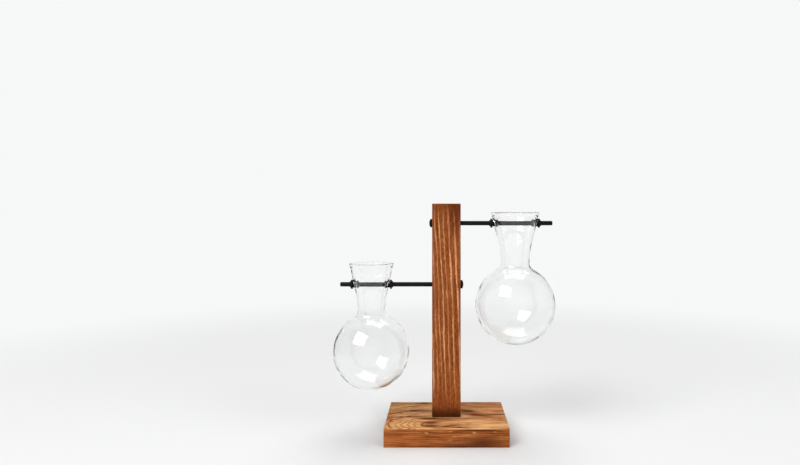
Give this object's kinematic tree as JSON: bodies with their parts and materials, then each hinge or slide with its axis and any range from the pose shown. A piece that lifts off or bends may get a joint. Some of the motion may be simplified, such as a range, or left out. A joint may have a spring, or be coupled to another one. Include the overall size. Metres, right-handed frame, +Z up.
{
  "type": "propagation vase",
  "caption": "Propagation vase: clear glass round-bottomed flasks with flared necks, hung on black steel rods through a wooden post on a flat base, free to swing and slide.",
  "frame": {"origin": "centre of the base's underside, on the table", "axes": "+Z up along the post, +X to the right seen from the front, along both rods, +Y to the back"},
  "size_m": [0.2348, 0.0842, 0.2428],
  "materials": {
    "burnt_wood": "torched and brushed softwood, satin oil",
    "screw_steel": "yellow zinc plate",
    "black_steel": "satin black",
    "clear_glass": "clear blown glass",
    "black_rubber": "matt moulded rubber"
  },
  "bodies": {
    "stand": {"base_block": "burnt_wood", "post": "burnt_wood", "base_screws": "screw_steel", "lower_rod": "black_steel", "upper_rod": "black_steel"},
    "lower_grommets": {"lower_inner_grommet": "black_rubber", "lower_outer_grommet": "black_rubber"},
    "lower_flask": {"lower_vase": "clear_glass"},
    "upper_grommets": {"upper_inner_grommet": "black_rubber", "upper_outer_grommet": "black_rubber"},
    "upper_flask": {"upper_vase": "clear_glass"}
  },
  "joints": [
    {"name": "lower_slide", "type": "slide", "parent": "stand", "child": "lower_grommets", "axis": [-1, 0, 0], "range_m": [-0.018, 0.0585]},
    {"name": "lower_swing", "type": "hinge", "parent": "lower_grommets", "child": "lower_flask", "pos_m": [-0.0795, 0, 0.1573], "axis": [1, 0, 0], "continuous": true},
    {"name": "upper_slide", "type": "slide", "parent": "stand", "child": "upper_grommets", "axis": [1, 0, 0], "range_m": [-0.013, 0.0694]},
    {"name": "upper_swing", "type": "hinge", "parent": "upper_grommets", "child": "upper_flask", "pos_m": [0.073, 0, 0.2223], "axis": [1, 0, 0], "continuous": true}
  ]
}
